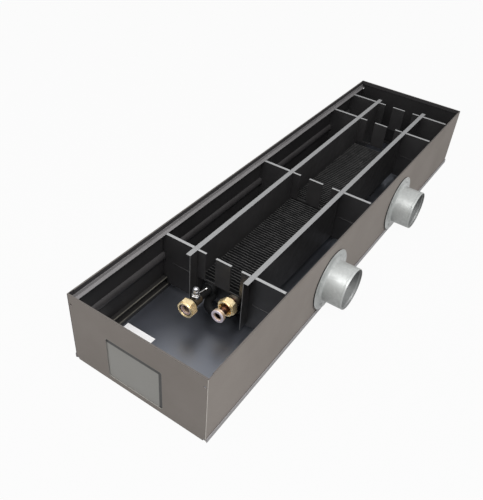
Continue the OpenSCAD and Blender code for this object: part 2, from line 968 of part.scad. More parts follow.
union_nut(-1, return_reach, return_nut_back, return_nut_turn);  // return_union_nut
vent_tee();
vent_body();
vent_spout();
vent_knob();
duct_spigot(spigot_x[0]);  // near_duct_spigot
duct_spigot(spigot_x[1]);  // far_duct_spigot
spigot_seal(spigot_x[0]);  // near_spigot_seal
spigot_seal(spigot_x[1]);  // far_spigot_seal
spigot_rivets(spigot_x[0]);  // near_spigot_rivets
spigot_rivets(spigot_x[1]);  // far_spigot_rivets
blank_label();
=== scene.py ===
import math

import bmesh
import bpy
from mathutils import Matrix, Vector


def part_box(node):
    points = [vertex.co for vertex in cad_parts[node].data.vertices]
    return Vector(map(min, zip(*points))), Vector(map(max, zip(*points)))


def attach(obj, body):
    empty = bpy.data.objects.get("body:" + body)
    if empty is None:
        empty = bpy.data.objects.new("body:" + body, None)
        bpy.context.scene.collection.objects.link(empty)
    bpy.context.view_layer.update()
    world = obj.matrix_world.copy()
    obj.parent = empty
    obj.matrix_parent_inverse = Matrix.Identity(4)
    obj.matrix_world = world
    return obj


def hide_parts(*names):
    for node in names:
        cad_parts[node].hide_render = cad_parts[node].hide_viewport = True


# The looks of a trench convector heater: painted sheet trough, black coil bay, brass unions,
# chrome air vent and galvanised duct spigots. Lengths are in metres, in the part's own frame.

MM = 0.001
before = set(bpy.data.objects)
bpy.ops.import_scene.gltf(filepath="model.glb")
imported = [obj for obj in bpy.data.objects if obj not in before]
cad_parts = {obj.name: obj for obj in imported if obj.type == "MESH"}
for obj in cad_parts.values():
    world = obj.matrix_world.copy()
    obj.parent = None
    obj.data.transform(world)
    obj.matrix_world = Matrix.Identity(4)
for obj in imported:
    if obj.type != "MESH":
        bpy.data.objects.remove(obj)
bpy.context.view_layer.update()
scene = bpy.context.scene


def node_box(name):
    """A CAD node's lowest corner, highest corner and middle"""
    lo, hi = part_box(name)
    return lo, hi, (lo + hi) / 2


# Main places, read from the CAD parts
WALL_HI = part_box("plain_side_wall")[1]
BASE_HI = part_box("base_tray")[1]
END_X = BASE_HI.x
SEAT_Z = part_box("guide_rail_plain_side")[1].z
RAIL_END_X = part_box("guide_rail_plain_side")[0].x
LEDGE_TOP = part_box("grille_ledge")[1].z
WASHER_LO, WASHER_HI, WASHER_MID = node_box("supply_washer")
PIPE_Y = WASHER_MID.y
PIPE_Z = WASHER_MID.z


# Colours and finishes

CASE_GREY = (0.235, 0.212, 0.195)
CASE_GREY_DEEP = (0.205, 0.184, 0.168)
OUTSIDE_ROUGH = (0.66, 0.76)
# Painted light: the duct wall's grey and the caps' grey are raised by these shares over the case grey, for
# the light that falls on those sides
DUCT_SIDE_PAINTED_LIGHT = 1.6
CAP_PAINTED_LIGHT = 1.22
RAW_EDGE = (0.72, 0.68, 0.63)
# Painted shade on the top faces of the walls and caps, which holds down the lamp light on them
RIM_PAINTED_SHADE = (0.11, 0.1, 0.093)
INSIDE_BLACK = (0.0175, 0.0168, 0.0172)
INSIDE_DUST = (0.027, 0.026, 0.0265)
# Painted sheen: the black inner faces above the grille ledge are drawn lighter, for reflected light
HEM_PAINTED_SHEEN = (0.042, 0.04, 0.041)
FLOOR_BLACK = (0.016, 0.016, 0.018)
FLOOR_BLUE = (0.026, 0.028, 0.036)
FLOOR_TINT = (0.84, 0.89, 1.0, 1.0)
GLOSSY_IOR = 2.0
PAINT_IOR = 1.22
GLOSSY_SPECULAR = 1.0
PAINT_SPECULAR = 0.4
BLACK_SPECULAR = 0.3
PIPE_SPECULAR = 0.12
PLATE_SEAT = ((0.25, 0.252, 0.255), (0.35, 0.352, 0.355))
RAIL_SEAT = ((0.195, 0.197, 0.2), (0.27, 0.272, 0.275))
CUT_EDGE_GREY = (0.14, 0.14, 0.14)
CUT_FACE_GREY = (0.27, 0.262, 0.245)
SHADE_BLACK = (0.02, 0.019, 0.018)
FIN_BLACK = (0.012, 0.012, 0.013)
# Painted highlight on the fins' upper edges
FIN_EDGE_HIGHLIGHT = ((0.06, 0.06, 0.06), (0.13, 0.128, 0.125))
BLACK = (0.007, 0.007, 0.0075)
BLACK_LIGHTER = (0.011, 0.011, 0.0115)

# Width of a mask's edge, and depths from a face or end within which its own finish, or its painted shade,
# sheen or highlight, applies
EDGE_BLUR = 0.1 * MM
WALL_SKIN = 0.3 * MM
CAP_SKIN = 1.1 * MM
LIP_SKIN = 1.25 * MM
UNDERSIDE_SKIN = 0.3 * MM
RAW_END_SKIN = 0.1 * MM
RIM_SKIN = 0.2 * MM
SEAT_SKIN = 0.25 * MM
CUT_END_SKIN = 0.3 * MM
HEM_STEP = 0.5 * MM
FIN_HIGHLIGHT_DEPTH = 1.0 * MM
FIN_HIGHLIGHT_BLUR = 1.2 * MM

# Knock-out opening in the near cap, and the shade that the cap throws on the plate behind it
KNOCKOUT_LAP = Vector((0.0, 4.0, 4.0)) * MM
WINDOW_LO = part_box("knockout_plate")[0] + KNOCKOUT_LAP
WINDOW_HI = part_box("knockout_plate")[1] - KNOCKOUT_LAP
CUT_RIM = 0.3 * MM
PAST_END = 1.0 * MM
SHADE_TOP = 8.0 * MM
SHADE_SIDE = 6.5 * MM
SHADE_BLUR = 1.2 * MM

# Painted highlights along the foot channel's flange edges, painted shade along the stiffener's lower edge
# and round the washer's rim, and the tail pipe's bare bore
CHANNEL_STEP = 9.0 * MM
FLANGE_HIGHLIGHT = 1.6 * MM
FLANGE_SKIN = 1.3 * MM
FLANGE_RISE = 0.2 * MM
PAINTED_LIGHT_BLUR = 0.3 * MM
STRIP_SHADE = 7.0 * MM
STRIP_SHADE_BLUR = 2.0 * MM
TAIL_BORE_R = 6.5 * MM
BORE_SKIN = 0.2 * MM
# Painted shade on the washer's outer rim, in the groove behind the nut's mouth
WASHER_SHADE_WIDTH = 2.2 * MM
WASHER_RIM = (WASHER_HI.z - WASHER_LO.z) / 2 - WASHER_SHADE_WIDTH

# Scales and depths of the finishes' clouds and grains
NOISE_ROUGHNESS = 0.55
PAINT_CLOUD = 9.0
PAINT_WEAR_CLOUD = 12.0
SHEET_CLOUD = 14.0
SHEET_WEAR_CLOUD = 60.0
STRIP_CLOUD = 20.0
CHANNEL_CLOUD = 45.0
PIPE_CLOUD = 60.0
WASHER_CLOUD = 200.0
FIN_CLOUD = 60.0
GRAIN_SCALE = 900.0
GRAIN_DETAIL = 2.0
FINE_DETAIL = 3.0
GRAIN_DEPTH = 0.05 * MM
PAINT_GRAIN_SCALE = 1400.0
FIN_GRAIN_SCALE = 700.0
ZINC_CELLS = 240.0
ZINC_CLOUD = 18.0
ZINC_GRAIN_SCALE = 500.0
ZINC_GRAIN_DEPTH = 0.04 * MM
METAL_CLOUD = 70.0
METAL_GRAIN_DEPTH = 0.03 * MM


# Node helpers

def new_material(name, base, metallic, roughness, specular=0.5):
    mat = bpy.data.materials.new(name)
    mat.use_nodes = True
    mat.diffuse_color = (*base, 1.0)
    nodes, links = mat.node_tree.nodes, mat.node_tree.links
    shader = nodes["Principled BSDF"]
    shader.inputs["Base Color"].default_value = (*base, 1.0)
    shader.inputs["Metallic"].default_value = metallic
    shader.inputs["Roughness"].default_value = roughness
    shader.inputs["Specular IOR Level"].default_value = specular
    return mat, nodes, links, shader


def feed(links, socket, value):
    """Sets a socket to a number or a colour, or links it to another node's output"""
    if isinstance(value, (int, float)):
        socket.default_value = value
    elif isinstance(value, tuple):
        socket.default_value = (*value, 1.0)
    else:
        links.new(value, socket)


def coat(links, shader, colour, roughness):
    links.new(colour, shader.inputs["Base Color"])
    links.new(roughness, shader.inputs["Roughness"])


def object_place(nodes):
    return nodes.new("ShaderNodeTexCoord").outputs["Object"]


def noise(nodes, links, place, scale, detail=4.0, stretch=None):
    if stretch is not None:
        mapping = nodes.new("ShaderNodeMapping")
        mapping.inputs["Scale"].default_value = stretch
        links.new(place, mapping.inputs["Vector"])
        place = mapping.outputs["Vector"]
    tex = nodes.new("ShaderNodeTexNoise")
    tex.inputs["Scale"].default_value = scale
    tex.inputs["Detail"].default_value = detail
    tex.inputs["Roughness"].default_value = NOISE_ROUGHNESS
    links.new(place, tex.inputs["Vector"])
    return tex.outputs["Fac"]


def spread(nodes, links, value, lo, hi, from_lo=0.3, from_hi=0.7):
    """Maps a value's range to another one, and clamps it there"""
    ramp = nodes.new("ShaderNodeMapRange")
    ramp.inputs["From Min"].default_value = from_lo
    ramp.inputs["From Max"].default_value = from_hi
    ramp.inputs["To Min"].default_value = lo
    ramp.inputs["To Max"].default_value = hi
    links.new(value, ramp.inputs["Value"])
    return ramp.outputs["Result"]


def cloud(nodes, links, place, scale):
    """Soft cloud from 0 to 1"""
    return spread(nodes, links, noise(nodes, links, place, scale), 0.0, 1.0)


def blend_colours(nodes, links, amount, colour_a, colour_b):
    mix = nodes.new("ShaderNodeMix")
    mix.data_type = "RGBA"
    for socket, value in ((mix.inputs[0], amount), (mix.inputs[6], colour_a), (mix.inputs[7], colour_b)):
        feed(links, socket, value)
    return mix.outputs[2]


def mix_values(nodes, links, amount, value_a, value_b):
    mix = nodes.new("ShaderNodeMix")
    for socket, value in ((mix.inputs[0], amount), (mix.inputs[2], value_a), (mix.inputs[3], value_b)):
        feed(links, socket, value)
    return mix.outputs[0]


def maths(nodes, links, operation, *values):
    node = nodes.new("ShaderNodeMath")
    node.operation = operation
    for socket, value in zip(node.inputs, values):
        feed(links, socket, value)
    return node.outputs[0]


def inverse(nodes, links, mask):
    return maths(nodes, links, "SUBTRACT", 1.0, mask)


def bump(nodes, links, shader, height, strength, distance):
    node = nodes.new("ShaderNodeBump")
    node.inputs["Strength"].default_value = strength
    node.inputs["Distance"].default_value = distance
    links.new(height, node.inputs["Height"])
    links.new(node.outputs["Normal"], shader.inputs["Normal"])


def fine_grain(nodes, links, shader, place, strength, scale=GRAIN_SCALE):
    bump(nodes, links, shader, noise(nodes, links, place, scale, GRAIN_DETAIL), strength, GRAIN_DEPTH)


# Masks by place

def axis_value(nodes, links, place, axis):
    split = nodes.new("ShaderNodeSeparateXYZ")
    links.new(place, split.inputs[0])
    return split.outputs["XYZ".index(axis)]


def soft_step(nodes, links, value, edge, width=EDGE_BLUR):
    """0 below the edge, 1 above it, over the given width"""
    return spread(nodes, links, value, 0.0, 1.0, edge - width / 2, edge + width / 2)


def within(nodes, links, value, lo, hi):
    """Mask that is 1 where a value lies between two edges"""
    above, below = (soft_step(nodes, links, value, edge) for edge in (lo, hi))
    return maths(nodes, links, "SUBTRACT", above, below)


def past(axis, edge):
    """Mask that is 1 where a coordinate lies further out than an edge, on either side"""
    def mask(nodes, links, place):
        distance = maths(nodes, links, "ABSOLUTE", axis_value(nodes, links, place, axis))
        return soft_step(nodes, links, distance, edge)
    return mask


def tray_outside(nodes, links, place):
    """Mask that is 1 on the tray's underside and on its two lips"""
    height = axis_value(nodes, links, place, "Z")
    under = inverse(nodes, links, soft_step(nodes, links, height, UNDERSIDE_SKIN))
    return maths(nodes, links, "MAXIMUM", under, past("Y", BASE_HI.y - LIP_SKIN)(nodes, links, place))


def window_cut(nodes, links, place):
    """Mask that is 1 on the cut faces of the near cap's knock-out opening"""
    near = within(nodes, links, axis_value(nodes, links, place, "X"), -END_X - PAST_END, 0.0)
    across = within(nodes, links, axis_value(nodes, links, place, "Y"),
                    WINDOW_LO.y - CUT_RIM, WINDOW_HI.y + CUT_RIM)
    height = within(nodes, links, axis_value(nodes, links, place, "Z"),
                    WINDOW_LO.z - CUT_RIM, WINDOW_HI.z + CUT_RIM)
    return maths(nodes, links, "MULTIPLY", near, maths(nodes, links, "MULTIPLY", across, height))


def off_pipe(nodes, links, place):
    """Distance from the nearer tail pipe's axis"""
    beside = maths(nodes, links, "ABSOLUTE", axis_value(nodes, links, place, "Y"))
    off_y = maths(nodes, links, "SUBTRACT", beside, PIPE_Y)
    off_z = maths(nodes, links, "SUBTRACT", axis_value(nodes, links, place, "Z"), PIPE_Z)
    square = maths(nodes, links, "ADD", maths(nodes, links, "MULTIPLY", off_y, off_y),
                   maths(nodes, links, "MULTIPLY", off_z, off_z))
    return maths(nodes, links, "SQRT", square)


# Materials

def painted_sheet(name, outside, inside=(INSIDE_BLACK, INSIDE_DUST), inside_rough=(0.34, 0.46),
                  raw_ends=False, glossy=False, window=False, painted_light_share=1.0):
    """Satin grey paint where the mask is 1, and satin black paint where it is 0"""
    specular = GLOSSY_SPECULAR if glossy else PAINT_SPECULAR
    mat, nodes, links, shader = new_material(name, CASE_GREY, 0.0, 0.6, specular)
    shader.inputs["IOR"].default_value = GLOSSY_IOR if glossy else PAINT_IOR
    if glossy:
        shader.inputs["Specular Tint"].default_value = FLOOR_TINT
    place = object_place(nodes)
    tone = cloud(nodes, links, place, PAINT_CLOUD)
    # Painted light: the grey is raised by a share for the light that falls on this side
    grey = blend_colours(nodes, links, tone, tuple(c * painted_light_share for c in CASE_GREY_DEEP),
                         tuple(c * painted_light_share for c in CASE_GREY))
    height = axis_value(nodes, links, place, "Z")
    # Painted sheen on the inner faces above the grille ledge
    hem = soft_step(nodes, links, height, LEDGE_TOP + HEM_STEP, HEM_STEP)
    black = blend_colours(nodes, links, hem, blend_colours(nodes, links, tone, *inside), HEM_PAINTED_SHEEN)
    mask = outside(nodes, links, place)
    colour = blend_colours(nodes, links, mask, black, grey)
    if raw_ends:
        end = past("X", END_X - RAW_END_SKIN)(nodes, links, place)
        colour = blend_colours(nodes, links, end, colour, RAW_EDGE)
    if window:
        colour = blend_colours(nodes, links, window_cut(nodes, links, place), colour, CUT_FACE_GREY)
    # The top faces get one middle grey, darker than the case grey and lighter than the inside black: painted
    # shade where the top is grey paint, painted light where it is black paint
    rim = soft_step(nodes, links, height, WALL_HI.z - RIM_SKIN)
    wear_and_highlight = noise(nodes, links, place, PAINT_WEAR_CLOUD)
    coat(links, shader, blend_colours(nodes, links, rim, colour, RIM_PAINTED_SHADE),
         mix_values(nodes, links, mask, spread(nodes, links, wear_and_highlight, *inside_rough),
                    spread(nodes, links, wear_and_highlight, *OUTSIDE_ROUGH)))
    fine_grain(nodes, links, shader, place, 0.12, PAINT_GRAIN_SCALE)
    return mat


def black_sheet(name, seat, cut_edge_x=None):
    """Satin black sheet whose top edges, where the grille lies, are pale"""
    mat, nodes, links, shader = new_material(name, INSIDE_BLACK, 0.0, 0.4)
    place = object_place(nodes)
    fine = noise(nodes, links, place, GRAIN_SCALE, FINE_DETAIL)
    black = blend_colours(nodes, links, cloud(nodes, links, place, SHEET_CLOUD), INSIDE_BLACK, INSIDE_DUST)
    pale = blend_colours(nodes, links, spread(nodes, links, fine, 0.0, 1.0), *seat)
    if cut_edge_x is not None:
        inner = soft_step(nodes, links, axis_value(nodes, links, place, "X"), cut_edge_x + CUT_END_SKIN)
        black = blend_colours(nodes, links, inner, CUT_EDGE_GREY, black)
    top = soft_step(nodes, links, axis_value(nodes, links, place, "Z"), SEAT_Z - SEAT_SKIN)
    coat(links, shader, blend_colours(nodes, links, top, black, pale),
         spread(nodes, links, noise(nodes, links, place, SHEET_WEAR_CLOUD), 0.36, 0.5))
    bump(nodes, links, shader, fine, 0.15, GRAIN_DEPTH)
    return mat


def soft_paint(name, dark, light, roughness, cloud_scale=30.0, specular=0.5):
    """Matt or satin finish with a faint cloud and a fine grain"""
    mat, nodes, links, shader = new_material(name, dark, 0.0, roughness, specular)
    place = object_place(nodes)
    tone = cloud(nodes, links, place, cloud_scale)
    coat(links, shader, blend_colours(nodes, links, tone, dark, light),
         spread(nodes, links, tone, roughness * 0.9, roughness * 1.1))
    fine_grain(nodes, links, shader, place, 0.2)
    return mat


def channel_black(name, dark, wear_and_highlight):
    """Black paint with a pale, streaked painted highlight along the free edges of the foot channel's two
    flanges
    """
    mat, nodes, links, shader = new_material(name, dark, 0.0, 0.5, BLACK_SPECULAR)
    place = object_place(nodes)
    lo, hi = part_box("foot_channel")
    height = axis_value(nodes, links, place, "Z")
    edge = inverse(nodes, links, soft_step(nodes, links, axis_value(nodes, links, place, "Y"),
                                           lo.y + FLANGE_HIGHLIGHT, PAINTED_LIGHT_BLUR))
    upper = soft_step(nodes, links, height, hi.z - FLANGE_SKIN)
    step_z = lo.z + CHANNEL_STEP
    lower = within(nodes, links, height, step_z - FLANGE_SKIN, step_z + FLANGE_RISE)
    streaks = noise(nodes, links, place, CHANNEL_CLOUD, stretch=(0.3, 1, 1))
    streaked_highlight = blend_colours(nodes, links, spread(nodes, links, streaks, 0.35, 1.0), dark, wear_and_highlight)
    mask = maths(nodes, links, "MULTIPLY", edge, maths(nodes, links, "MAXIMUM", upper, lower))
    coat(links, shader, blend_colours(nodes, links, mask, dark, streaked_highlight),
         spread(nodes, links, streaks, 0.44, 0.56))
    fine_grain(nodes, links, shader, place, 0.15)
    return mat


def shaded_strip(name, node, dark, light):
    """Black strip with a dark shade along its lower edge"""
    mat, nodes, links, shader = new_material(name, dark, 0.0, 0.55, BLACK_SPECULAR)
    place = object_place(nodes)
    tone = cloud(nodes, links, place, STRIP_CLOUD)
    above = soft_step(nodes, links, axis_value(nodes, links, place, "Z"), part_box(node)[0].z + STRIP_SHADE,
                      STRIP_SHADE_BLUR)
    colour = blend_colours(nodes, links, tone, dark, light)
    coat(links, shader, blend_colours(nodes, links, above, BLACK, colour),
         spread(nodes, links, tone, 0.5, 0.6))
    fine_grain(nodes, links, shader, place, 0.15)
    return mat


def recessed_zinc(name, dark, light):
    """Grey plate behind the cap, in shade along the opening's top and duct side"""
    mat, nodes, links, shader = new_material(name, light, 0.0, 0.45)
    place = object_place(nodes)
    tone = cloud(nodes, links, place, SHEET_CLOUD)
    grey = blend_colours(nodes, links, tone, dark, light)
    top = soft_step(nodes, links, axis_value(nodes, links, place, "Z"), WINDOW_HI.z - SHADE_TOP, SHADE_BLUR)
    side = inverse(nodes, links, soft_step(nodes, links, axis_value(nodes, links, place, "Y"),
                                           WINDOW_LO.y + SHADE_SIDE, SHADE_BLUR))
    shade = maths(nodes, links, "MAXIMUM", top, side)
    coat(links, shader, blend_colours(nodes, links, shade, grey, SHADE_BLACK),
         spread(nodes, links, tone, 0.4, 0.5))
    fine_grain(nodes, links, shader, place, 0.2)
    return mat


def black_pipe(name, bare_dark, bare_light):
    """Black pipe, bare inside"""
    mat, nodes, links, shader = new_material(name, BLACK, 0.0, 0.55, PIPE_SPECULAR)
    place = object_place(nodes)
    outside = soft_step(nodes, links, off_pipe(nodes, links, place), TAIL_BORE_R + BORE_SKIN, BORE_SKIN)
    tone = cloud(nodes, links, place, PIPE_CLOUD)
    bare = blend_colours(nodes, links, tone, bare_dark, bare_light)
    black = blend_colours(nodes, links, tone, BLACK, BLACK_LIGHTER)
    coat(links, shader, blend_colours(nodes, links, outside, bare, black),
         spread(nodes, links, tone, 0.5, 0.6))
    fine_grain(nodes, links, shader, place, 0.15)
    return mat


def ringed_washer(name, dark, light, groove):
    """Fibre washer with painted shade on its outer rim, which lies in the groove behind the nut's mouth"""
    mat, nodes, links, shader = new_material(name, light, 0.0, 0.45)
    place = object_place(nodes)
    rim = soft_step(nodes, links, off_pipe(nodes, links, place), WASHER_RIM, PAINTED_LIGHT_BLUR)
    tone = cloud(nodes, links, place, WASHER_CLOUD)
    face = blend_colours(nodes, links, tone, dark, light)
    coat(links, shader, blend_colours(nodes, links, rim, face, groove), spread(nodes, links, tone, 0.4, 0.5))
    fine_grain(nodes, links, shader, place, 0.2)
    return mat


def fin_black(name, top):
    """Black fins with a grey painted highlight along their upper edges"""
    mat, nodes, links, shader = new_material(name, FIN_BLACK, 0.0, 0.42)
    place = object_place(nodes)
    edge = soft_step(nodes, links, axis_value(nodes, links, place, "Z"), top - FIN_HIGHLIGHT_DEPTH, FIN_HIGHLIGHT_BLUR)
    tone = cloud(nodes, links, place, FIN_CLOUD)
    grey = blend_colours(nodes, links, tone, *FIN_EDGE_HIGHLIGHT)
    coat(links, shader, blend_colours(nodes, links, edge, FIN_BLACK, grey),
         spread(nodes, links, tone, 0.36, 0.5))
    fine_grain(nodes, links, shader, place, 0.15, FIN_GRAIN_SCALE)
    return mat


def metal(name, dark, light, roughness, fine_scale=600.0, stretch=None, metallic=1.0, bump_strength=0.08):
    """Turned or drawn metal with a faint cloud and a fine, uneven shine"""
    mat, nodes, links, shader = new_material(name, light, metallic, roughness)
    place = object_place(nodes)
    tone = spread(nodes, links, noise(nodes, links, place, METAL_CLOUD, stretch=stretch), 0.0, 1.0)
    fine = noise(nodes, links, place, fine_scale, FINE_DETAIL, stretch=stretch)
    coat(links, shader, blend_colours(nodes, links, tone, dark, light),
         spread(nodes, links, fine, roughness * 0.75, roughness * 1.25))
    bump(nodes, links, shader, fine, bump_strength, METAL_GRAIN_DEPTH)
    return mat


def zinc(name, dark, light, roughness, metallic):
    """Zinc-coated sheet with a very faint spangle"""
    mat, nodes, links, shader = new_material(name, light, metallic, roughness)
    place = object_place(nodes)
    cells = nodes.new("ShaderNodeTexVoronoi")
    cells.inputs["Scale"].default_value = ZINC_CELLS
    links.new(place, cells.inputs["Vector"])
    grey = nodes.new("ShaderNodeSeparateColor")
    links.new(cells.outputs["Color"], grey.inputs[0])
    tone = maths(nodes, links, "ADD", maths(nodes, links, "MULTIPLY", grey.outputs[0], 0.2),
                 maths(nodes, links, "MULTIPLY", noise(nodes, links, place, ZINC_CLOUD), 0.8))
    amount = spread(nodes, links, tone, 0.0, 1.0, 0.2, 0.8)
    coat(links, shader, blend_colours(nodes, links, amount, dark, light),
         spread(nodes, links, tone, roughness * 1.15, roughness * 0.85))
    grain = noise(nodes, links, place, ZINC_GRAIN_SCALE, GRAIN_DETAIL)
    bump(nodes, links, shader, grain, 0.05, ZINC_GRAIN_DEPTH)
    return mat


MATERIALS = {
    "wall": painted_sheet("case_paint_wall", past("Y", WALL_HI.y - WALL_SKIN)),
    # The duct wall's and the caps' grey carry painted light
    "duct_wall": painted_sheet("case_paint_duct_wall", past("Y", WALL_HI.y - WALL_SKIN), raw_ends=True,
                               painted_light_share=DUCT_SIDE_PAINTED_LIGHT),
    "cap": painted_sheet("case_paint_caps", past("X", END_X - CAP_SKIN), window=True, painted_light_share=CAP_PAINTED_LIGHT),
    "base": painted_sheet("case_paint_base", tray_outside, (FLOOR_BLACK, FLOOR_BLUE), (0.3, 0.38),
                          glossy=True),
    "black": black_sheet("inside_black_sheet", PLATE_SEAT),
    "rail": black_sheet("rail_black_sheet", RAIL_SEAT, RAIL_END_X),
    "ledge": soft_paint("ledge_grey", (0.17, 0.163, 0.165), (0.215, 0.208, 0.21), 0.45, 12.0),
    # Foot channel: the second colour is a painted highlight on its flange edges
    "channel": channel_black("foot_channel_black", (0.017, 0.016, 0.0155), (0.14, 0.132, 0.11)),
    "stiffener": shaded_strip("stiffener_black", "wall_stiffener", (0.024, 0.0222, 0.0228),
                              (0.034, 0.0315, 0.0325)),
    "pipe_black": soft_paint("pipe_black", BLACK, BLACK_LIGHTER, 0.6, specular=PIPE_SPECULAR),
    "pipe_open": black_pipe("pipe_black_bare_inside", (0.36, 0.25, 0.18), (0.5, 0.36, 0.26)),
    "fins": fin_black("fin_black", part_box("fin_pack")[1].z),
    "saddle": soft_paint("saddle_black", (0.02, 0.019, 0.019), (0.03, 0.029, 0.029), 0.5),
    "zinc": zinc("galvanised_sheet", (0.37, 0.382, 0.376), (0.51, 0.525, 0.515), 0.45, 0.35),
    # Painted shade: the spigots' insides are the same galvanised sheet, drawn darker
    "zinc_shaded_inside": zinc("galvanised_inside_painted_shade", (0.27, 0.275, 0.273), (0.36, 0.368, 0.364), 0.5, 0.3),
    "plate_zinc": recessed_zinc("knockout_grey", (0.25, 0.245, 0.228), (0.285, 0.278, 0.26)),
    "copper": metal("copper_dark", (0.16, 0.075, 0.055), (0.34, 0.17, 0.12), 0.3, stretch=(1, 6, 6)),
    "coupling": metal("coupling_tan", (0.17, 0.14, 0.11), (0.25, 0.21, 0.17), 0.4, metallic=0.85),
    "brass": metal("brass_turned", (0.88, 0.68, 0.38), (1.0, 0.84, 0.52), 0.28, fine_scale=500.0,
                   metallic=0.75, bump_strength=0.02),
    # The vent tee is drawn near black
    "tee": metal("tee_near_black", (0.03, 0.022, 0.014), (0.055, 0.04, 0.024), 0.5, metallic=0.3),
    "collar": metal("collar_metal", (0.7, 0.53, 0.38), (0.86, 0.69, 0.52), 0.3, metallic=0.6),
    "bore": soft_paint("collar_bore", (0.42, 0.3, 0.22), (0.56, 0.42, 0.32), 0.4, 200.0),
    # Supply washer: the third colour is painted shade on its rim
    "washer": ringed_washer("washer_fibre", (0.4, 0.29, 0.31), (0.5, 0.4, 0.42), (0.03, 0.025, 0.018)),
    "washer_pale": soft_paint("washer_pale", (0.56, 0.49, 0.56), (0.7, 0.64, 0.7), 0.4, 200.0),
    # The knob's chrome is drawn darker than the vent body's and spout's: a painted reflection of the dark
    # trough round it
    "chrome": metal("chrome_knob_painted_reflection", (0.3, 0.3, 0.31), (0.46, 0.46, 0.48), 0.26, metallic=0.75,
                    bump_strength=0.03),
    "chrome_bright": metal("chrome_bright", (0.62, 0.61, 0.6), (0.8, 0.79, 0.78), 0.2, bump_strength=0.03),
    "foam": soft_paint("seal_foam", (0.02, 0.02, 0.02), (0.03, 0.03, 0.03), 0.9, 300.0),
    "label": soft_paint("label_paper", (0.76, 0.755, 0.76), (0.81, 0.805, 0.81), 0.55),
}

FINISH = {
    "wall": ["plain_side_wall"],
    "duct_wall": ["duct_side_wall"],
    "cap": ["near_end_cap", "far_end_cap"],
    "base": ["base_tray"],
    "ledge": ["grille_ledge"],
    "channel": ["foot_channel"],
    "stiffener": ["wall_stiffener"],
    "rail": ["guide_rail_plain_side", "guide_rail_duct_side"],
    "black": ["foot_angle", "cross_plate_1", "cross_plate_2", "cross_plate_3", "cross_plate_4"],
    "pipe_black": ["near_return_bend", "far_return_bend_plain_side", "far_return_bend_duct_side",
                   "supply_coil_tube", "return_coil_tube", "lower_coil_tube_plain_side",
                   "lower_coil_tube_duct_side", "supply_coupling"],
    "pipe_open": ["supply_tail_pipe"],
    "fins": ["fin_pack"],
    "saddle": ["near_coil_saddle", "far_coil_saddle"],
    "zinc": ["near_duct_spigot", "far_duct_spigot", "near_spigot_rivets", "far_spigot_rivets"],
    "plate_zinc": ["knockout_plate"],
    "copper": ["return_tail_pipe"],
    "coupling": ["return_coupling"],
    "brass": ["supply_thrust_ring", "return_thrust_ring", "supply_union_nut", "return_union_nut"],
    "tee": ["vent_tee"],
    "collar": ["supply_tail_collar", "return_tail_collar"],
    "washer": ["supply_washer"],
    "washer_pale": ["return_washer"],
    "chrome": ["vent_body", "vent_spout", "vent_knob"],
    "foam": ["near_spigot_seal", "far_spigot_seal"],
    "label": ["blank_label"],
}

# Widths of the softened edges, in millimetres
ROUNDED_EDGES = {
    "base_tray": 0.25, "duct_side_wall": 0.25, "plain_side_wall": 0.25, "knockout_plate": 0.3,
    "grille_ledge": 0.3, "guide_rail_plain_side": 0.25, "guide_rail_duct_side": 0.25, "cross_plate_1": 0.2,
    "cross_plate_2": 0.2, "cross_plate_3": 0.2, "cross_plate_4": 0.2, "supply_union_nut": 0.35,
    "return_union_nut": 0.35, "foot_angle": 0.25, "foot_channel": 0.3, "near_coil_saddle": 0.3,
    "far_coil_saddle": 0.3,
}
WELD_DISTANCE = 0.001 * MM
SHARP_DEGREES = 35


def round_edges(obj, width):
    """Softens the sharp edges of a CAD node with modifiers, its mesh untouched"""
    weld = obj.modifiers.new("weld", "WELD")
    weld.merge_threshold = WELD_DISTANCE
    bevel = obj.modifiers.new("bevel", "BEVEL")
    bevel.width = width * MM
    bevel.segments = 2
    bevel.limit_method = "ANGLE"
    bevel.angle_limit = math.radians(SHARP_DEGREES)
    bevel.harden_normals = True


def dress_cad():
    for key, names in FINISH.items():
        for name in names:
            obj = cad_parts[name]
            obj.data.materials.clear()
            obj.data.materials.append(MATERIALS[key])
    for name, width in ROUNDED_EDGES.items():
        round_edges(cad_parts[name], width)


# Mesh helpers

AXIS_GAP = 0.05 * MM


def mesh_piece(name, verts, faces, material, body, stands_for=(), smooth_angle=SHARP_DEGREES,
               second=None):
    """A piece of one material, or of a second one where a test of a face's middle says so"""
    mesh = bpy.data.meshes.new(name)
    mesh.from_pydata([tuple(v) for v in verts], [], faces)
    bm = bmesh.new()
    bm.from_mesh(mesh)
    bmesh.ops.recalc_face_normals(bm, faces=bm.faces)
    bm.to_mesh(mesh)
    bm.free()
    mesh.shade_smooth()
    mesh.set_sharp_from_angle(angle=math.radians(smooth_angle))
    mesh.materials.append(MATERIALS[material])
    if second is not None:
        key, belongs = second
        mesh.materials.append(MATERIALS[key])
        for face in mesh.polygons:
            face.material_index = int(belongs(face.center))
    obj = bpy.data.objects.new(name, mesh)
    scene.collection.objects.link(obj)
    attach(obj, body)
    if stands_for:
        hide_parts(*stands_for)


def frame_of(axis):
    """An axis of length 1 and two directions square to it"""
    axis = Vector(axis).normalized()
    side = Vector((0, 0, 1)) if abs(axis.z) < 0.9 else Vector((1, 0, 0))
    u = side.cross(axis).normalized()
    return axis, u, axis.cross(u)


def turned_points(profile, origin, axis, segments, radius_at=None):
    """Points of a profile of (radius, distance along the axis), in metres, repeated round the axis"""
    a, u, v = frame_of(axis)
    origin = Vector(origin)
    verts = []
    for i in range(segments):
        angle = 2 * math.pi * i / segments
        out = u * math.cos(angle) + v * math.sin(angle)
        for r, h in profile:
            verts.append(origin + out * (r if radius_at is None else radius_at(r, h, angle)) + a * h)
    return verts


